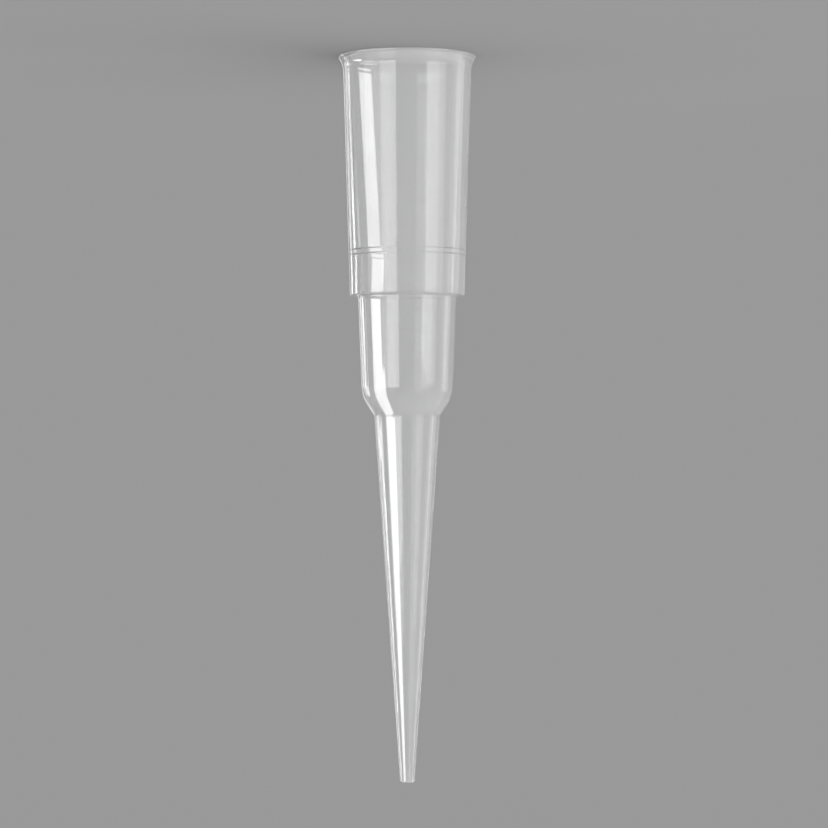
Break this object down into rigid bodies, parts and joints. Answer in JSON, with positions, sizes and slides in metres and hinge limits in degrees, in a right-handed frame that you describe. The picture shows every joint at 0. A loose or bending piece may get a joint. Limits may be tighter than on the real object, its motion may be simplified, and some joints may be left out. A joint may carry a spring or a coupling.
{
  "type": "pipette tip",
  "caption": "Hollow tapered plastic tip with a wide flared collar that presses on a pipette's nozzle, a stepped barrel and a long cone that draws up and delivers liquid.",
  "frame": {"origin": "centre of the mouth rim, on the surface that the tip stands on", "axes": "+Z along the bore axis, from the mouth towards the point"},
  "size_m": [0.0085, 0.0084, 0.045],
  "materials": {
    "natural_plastic": "milky translucent natural polypropylene with a smooth moulded skin"
  },
  "bodies": {
    "root": {"pipette_tip": "natural_plastic"}
  },
  "joints": []
}
